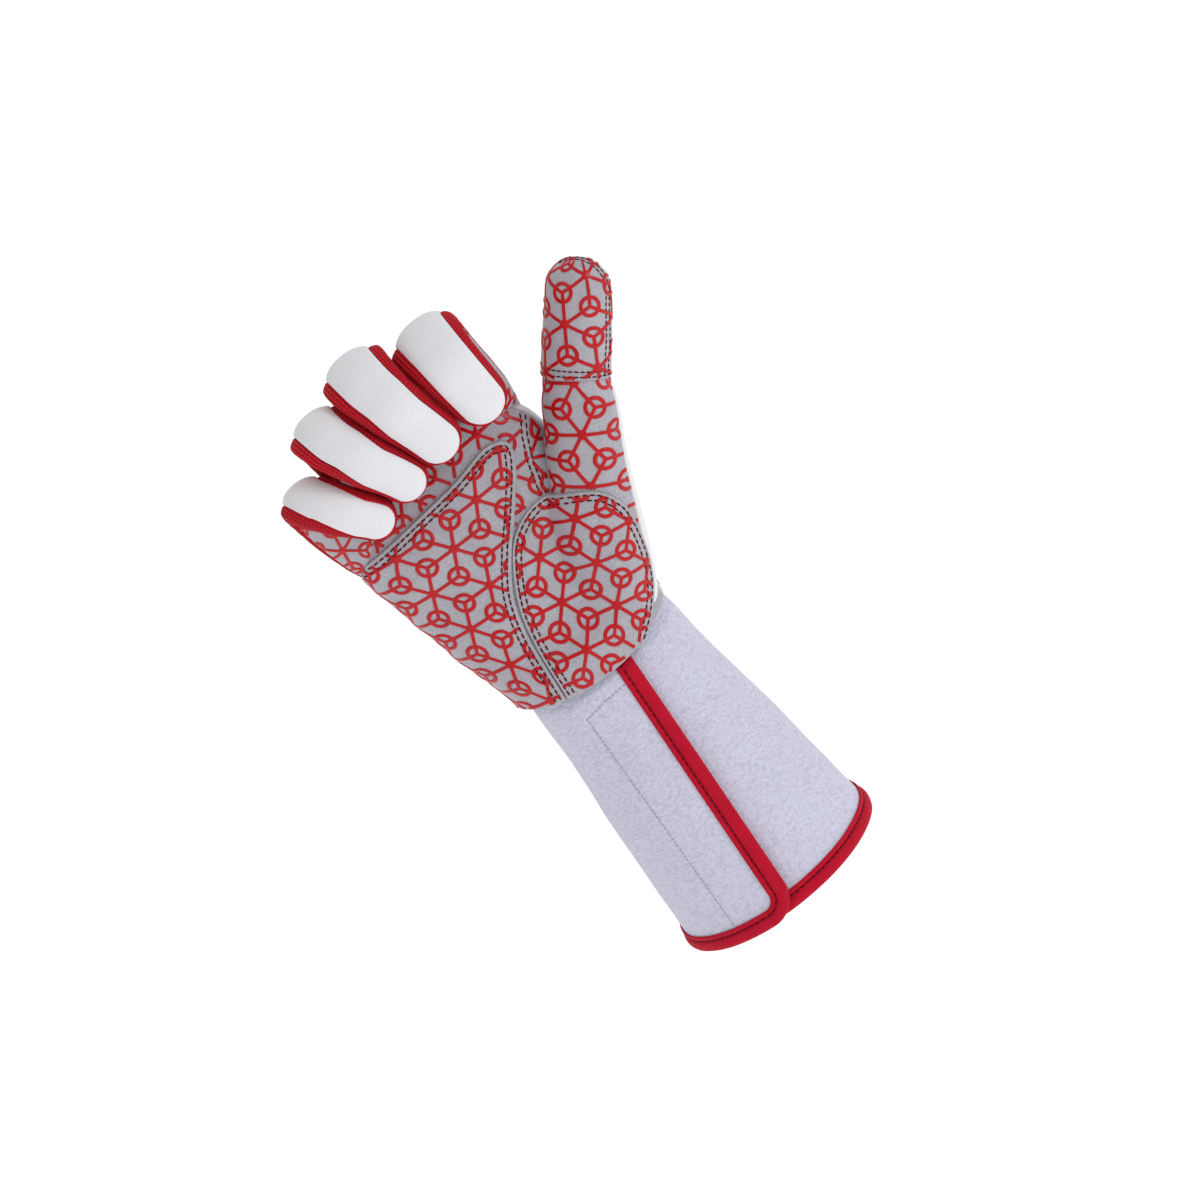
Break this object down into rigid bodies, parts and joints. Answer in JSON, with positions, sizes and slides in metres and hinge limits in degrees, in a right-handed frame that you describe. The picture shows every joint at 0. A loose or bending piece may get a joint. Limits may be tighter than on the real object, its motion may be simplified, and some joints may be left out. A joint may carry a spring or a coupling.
{
  "type": "fencing glove",
  "caption": "Right-hand fencing glove in worn form: curled suede fingers with ribbed knit sides, printed grip palm and thumb, and a flared cuff that laps over on the palm side.",
  "frame": {"origin": "centre of the cuff's mouth, in the plane of its rim, where the forearm goes in", "axes": "+Z along the forearm from the mouth to the fingers, the palm faces -Y, the thumb points to +X"},
  "size_m": [0.1598, 0.0997, 0.2917],
  "materials": {
    "grip_leather": "fine napped grey synthetic suede with a raised glossy red lattice print",
    "white_suede": "fine matte white synthetic suede",
    "red_knit": "ribbed crimson stretch knit",
    "cuff_cloth": "dense matte lavender-white woven cloth with a pebbled face",
    "binding_tape": "crimson cross-ribbed tape folded over the edge",
    "hook_tape": "white hook and loop tape"
  },
  "bodies": {
    "root": {"cuff": "cuff_cloth", "cuff_binding": "binding_tape", "closure_strip": "hook_tape", "hand_back": "white_suede", "palm_panel": "grip_leather", "thenar_patch": "grip_leather", "palm_patch": "grip_leather", "thumb_back": "white_suede", "thumb_front": "grip_leather", "thumb_cap": "grip_leather", "index_back": "white_suede", "index_gusset": "red_knit", "index_palm": "grip_leather", "middle_back": "white_suede", "middle_gusset": "red_knit", "middle_palm": "grip_leather", "ring_back": "white_suede", "ring_gusset": "red_knit", "ring_palm": "grip_leather", "little_back": "white_suede", "little_gusset": "red_knit", "little_palm": "grip_leather"}
  },
  "joints": []
}
